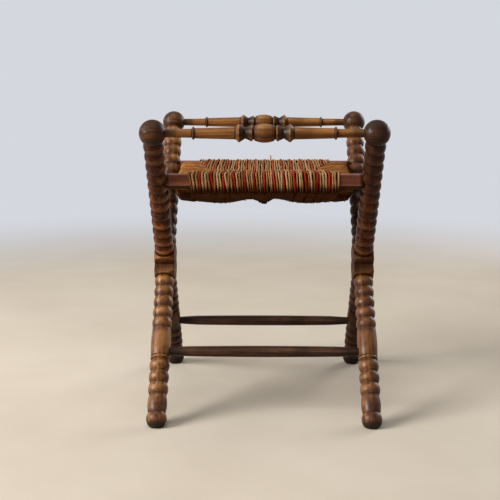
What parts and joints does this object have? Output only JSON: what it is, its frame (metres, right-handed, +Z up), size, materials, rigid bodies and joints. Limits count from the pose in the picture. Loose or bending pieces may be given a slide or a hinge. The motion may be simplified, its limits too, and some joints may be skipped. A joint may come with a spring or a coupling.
{
  "type": "bobbin stool",
  "caption": "Stool on crossed side frames of bobbin-turned legs with ball finials, turned top rails, plain stretchers and a striped straw seat.",
  "frame": {"origin": "on the floor, midway between the feet", "axes": "+Z up, +X to the right along the rails, -Y to the front"},
  "size_m": [0.424, 0.458, 0.538],
  "materials": {
    "leg_wood": "old varnish, worn to a warm brown with dark grooves",
    "top_rail_wood": "old varnish, honey brown",
    "seat_rail_wood": "dull dark stain",
    "stretcher_wood": "dark reddish stain, satin",
    "straw": "dry twisted straw with red-dyed strands, dark with age below"
  },
  "bodies": {
    "root": {"leg_left_front": "leg_wood", "leg_left_back": "leg_wood", "leg_right_front": "leg_wood", "leg_right_back": "leg_wood", "top_rail_front": "top_rail_wood", "top_rail_back": "top_rail_wood", "seat_rail_front": "seat_rail_wood", "seat_rail_back": "seat_rail_wood", "seat_rail_left": "seat_rail_wood", "seat_rail_right": "seat_rail_wood", "stretcher_front": "stretcher_wood", "stretcher_back": "stretcher_wood", "rush_seat": "straw"}
  },
  "joints": []
}
